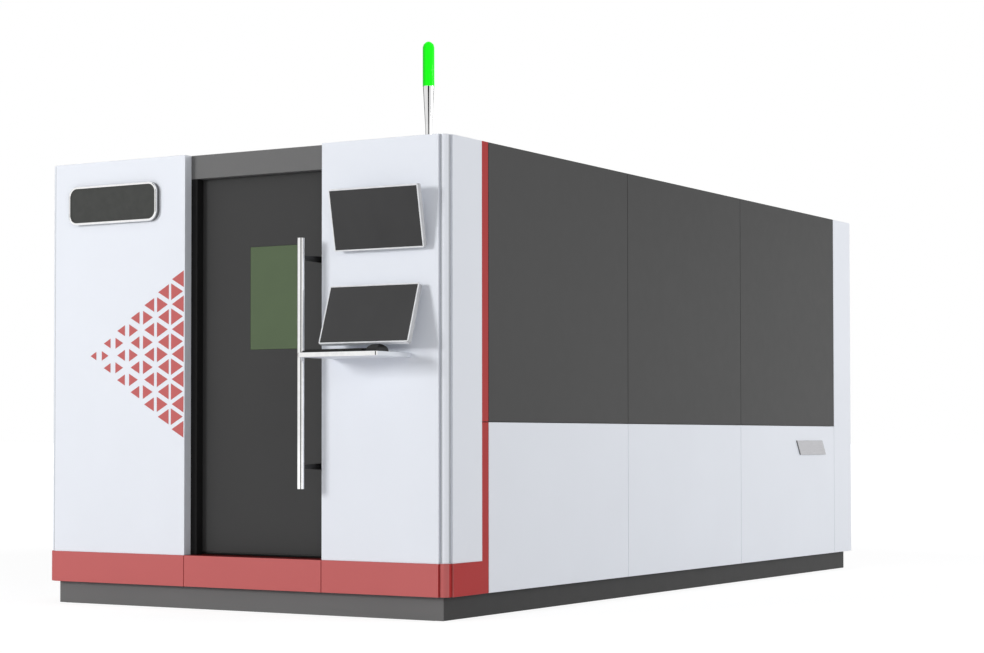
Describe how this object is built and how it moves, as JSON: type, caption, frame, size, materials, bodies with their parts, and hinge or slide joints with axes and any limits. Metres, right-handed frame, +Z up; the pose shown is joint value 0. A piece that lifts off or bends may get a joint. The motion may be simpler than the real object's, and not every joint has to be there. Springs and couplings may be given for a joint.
{
  "type": "fiber laser cutting machine",
  "caption": "Enclosed flat-bed fiber laser cutter with a sliding front door, a station with tilting monitors, a driven gantry over a rolling slat table and a lifting rear gate",
  "frame": {"origin": "on the floor at the middle of the machine body's plan, under the bed", "axes": "+X right along the front, +Y back along the body, +Z up"},
  "size_m": [2.352, 5.33, 2.652],
  "materials": {
    "white_paint": "satin",
    "dark_paint": "satin",
    "red_paint": "satin",
    "frame_paint": "matte",
    "bed_paint": "satin",
    "door_paint": "satin",
    "seal_rubber": "matte",
    "green_glass": "polished",
    "chrome": "polished",
    "black_metal": "satin",
    "steel": "machined",
    "slat_steel": "raw",
    "aluminium": "satin",
    "motor_black": "satin",
    "head_white": "satin",
    "brass": "polished",
    "cabinet_paint": "satin",
    "drive_plastic": "matte",
    "monitor_white": "satin",
    "screen_glass": "glossy",
    "black_plastic": "matte",
    "badge_dark": "gloss",
    "lamp_plastic": "glossy"
  },
  "bodies": {
    "machine": {"base_frame": "frame_paint", "enclosure_frame": "frame_paint", "front_panels": "white_paint", "header_panel": "dark_paint", "front_corner_strips": "white_paint", "red_bands": "red_paint", "corner_skins": "white_paint", "upper_panels": "dark_paint", "lower_panels": "white_paint", "roof_panels": "white_paint", "jamb_seals": "seal_rubber", "door_track": "steel", "gate_guides": "steel", "bed": "bed_paint", "levelling_feet": "steel", "gantry_guides": "steel", "cabinet": "cabinet_paint", "servo_drives": "drive_plastic", "laser_source": "black_metal", "monitor_brackets": "black_metal", "keyboard_shelf": "white_paint", "keyboard": "black_plastic", "mouse": "black_plastic", "badge_frames": "chrome", "badge_plate": "badge_dark", "panel_triangles": "red_paint", "beacon_post": "chrome", "beacon_lamp": "lamp_plastic"},
    "door": {"door_leaf": "door_paint", "door_window": "green_glass", "handle_bar": "chrome", "handle_posts": "black_metal", "door_hangers": "steel"},
    "roller_left": {"door_roller_left": "steel"},
    "roller_right": {"door_roller_right": "steel"},
    "gate": {"rear_gate": "dark_paint"},
    "cabinet_leaf": {"cabinet_door": "cabinet_paint"},
    "scroll_wheel": {"mouse_wheel": "black_plastic"},
    "upper_display": {"upper_monitor": "monitor_white", "upper_screen": "screen_glass"},
    "lower_display": {"lower_monitor": "monitor_white", "lower_screen": "screen_glass"},
    "gantry": {"gantry_beam": "aluminium", "cross_rails": "steel", "gantry_trucks": "aluminium", "gantry_motors": "motor_black"},
    "drive_left": {"pinion_left": "steel"},
    "drive_right": {"pinion_right": "steel"},
    "cross_carriage": {"carriage": "aluminium", "carriage_motors": "motor_black"},
    "cross_drive": {"carriage_pinion": "steel"},
    "lift_screw": {"ball_screw": "steel"},
    "head": {"head_slide": "aluminium", "cutting_head": "head_white", "nozzle": "brass"},
    "table": {"slat_table": "bed_paint", "slats": "slat_steel"},
    "wheels_front": {"wheelset_front": "steel"},
    "wheels_middle": {"wheelset_middle": "steel"},
    "wheels_rear": {"wheelset_rear": "steel"}
  },
  "joints": [
    {"name": "door_slide", "type": "slide", "parent": "machine", "child": "door", "axis": [-1, 0, 0], "range_m": [0, 0.69]},
    {"name": "roller_left_turn", "type": "hinge", "parent": "door", "child": "roller_left", "pos_m": [-0.215, -2.3675, 2.1403], "axis": [0, -1, 0], "range_deg": [0, 2200]},
    {"name": "roller_right_turn", "type": "hinge", "parent": "door", "child": "roller_right", "pos_m": [0.398, -2.3675, 2.1403], "axis": [0, -1, 0], "range_deg": [0, 2200]},
    {"name": "gate_lift", "type": "slide", "parent": "machine", "child": "gate", "axis": [0, 0, 1], "range_m": [0, 0.49]},
    {"name": "cabinet_door_hinge", "type": "hinge", "parent": "machine", "child": "cabinet_leaf", "pos_m": [-0.421, -1.709, 1], "axis": [0, 0, 1], "range_deg": [0, 95]},
    {"name": "scroll_wheel_turn", "type": "hinge", "parent": "machine", "child": "scroll_wheel", "pos_m": [0.937, -2.708, 1.22955], "axis": [1, 0, 0], "continuous": true},
    {"name": "upper_monitor_tilt", "type": "hinge", "parent": "machine", "child": "upper_display", "pos_m": [0.8365, -2.54841, 1.83439], "axis": [1, 0, 0], "range_deg": [-25, 4]},
    {"name": "lower_monitor_tilt", "type": "hinge", "parent": "machine", "child": "lower_display", "pos_m": [0.812, -2.57022, 1.37542], "axis": [1, 0, 0], "range_deg": [-4.5, 29]},
    {"name": "gantry_drive", "type": "slide", "parent": "machine", "child": "gantry", "axis": [0, 1, 0], "range_m": [0, 3]},
    {"name": "pinion_left_turn", "type": "hinge", "parent": "gantry", "child": "drive_left", "pos_m": [-1.0083, -1.192, 0.775], "axis": [0, 0, -1], "range_deg": [0, 5740]},
    {"name": "pinion_right_turn", "type": "hinge", "parent": "gantry", "child": "drive_right", "pos_m": [1.0083, -1.192, 0.775], "axis": [0, 0, 1], "range_deg": [0, 5740]},
    {"name": "cross_drive_slide", "type": "slide", "parent": "gantry", "child": "cross_carriage", "axis": [1, 0, 0], "range_m": [-1.05, 0.45]},
    {"name": "cross_pinion_turn", "type": "hinge", "parent": "cross_carriage", "child": "cross_drive", "pos_m": [0.425, -1.158, 1.0997], "axis": [0, -1, 0], "range_deg": [-3015, 1300]},
    {"name": "head_lift", "type": "slide", "parent": "cross_carriage", "child": "head", "axis": [0, 0, -1], "range_m": [0, 0.095]},
    {"name": "lift_screw_turn", "type": "hinge", "parent": "cross_carriage", "child": "lift_screw", "pos_m": [0.3, -1.2115, 1.1], "axis": [0, 0, 1], "range_deg": [0, 3430]},
    {"name": "table_travel", "type": "slide", "parent": "machine", "child": "table", "axis": [0, 1, 0], "range_m": [0, 0.68]},
    {"name": "wheels_front_turn", "type": "hinge", "parent": "table", "child": "wheels_front", "pos_m": [0, -1.15, 0.6753], "axis": [-1, 0, 0], "range_deg": [0, 1120]},
    {"name": "wheels_middle_turn", "type": "hinge", "parent": "table", "child": "wheels_middle", "pos_m": [0, 0.175, 0.6753], "axis": [-1, 0, 0], "range_deg": [0, 1120]},
    {"name": "wheels_rear_turn", "type": "hinge", "parent": "table", "child": "wheels_rear", "pos_m": [0, 1.5, 0.6753], "axis": [-1, 0, 0], "range_deg": [0, 1120]}
  ],
  "couplings": [
    {"joint": "roller_left_turn", "follows": "door_slide", "rad_per_m": 55.556},
    {"joint": "roller_right_turn", "follows": "door_slide", "rad_per_m": 55.556},
    {"joint": "pinion_left_turn", "follows": "gantry_drive", "rad_per_m": 33.333},
    {"joint": "pinion_right_turn", "follows": "gantry_drive", "rad_per_m": 33.333},
    {"joint": "cross_pinion_turn", "follows": "cross_drive_slide", "rad_per_m": 50},
    {"joint": "lift_screw_turn", "follows": "head_lift", "rad_per_m": 628.32},
    {"joint": "wheels_front_turn", "follows": "table_travel", "rad_per_m": 28.571},
    {"joint": "wheels_middle_turn", "follows": "table_travel", "rad_per_m": 28.571},
    {"joint": "wheels_rear_turn", "follows": "table_travel", "rad_per_m": 28.571}
  ]
}
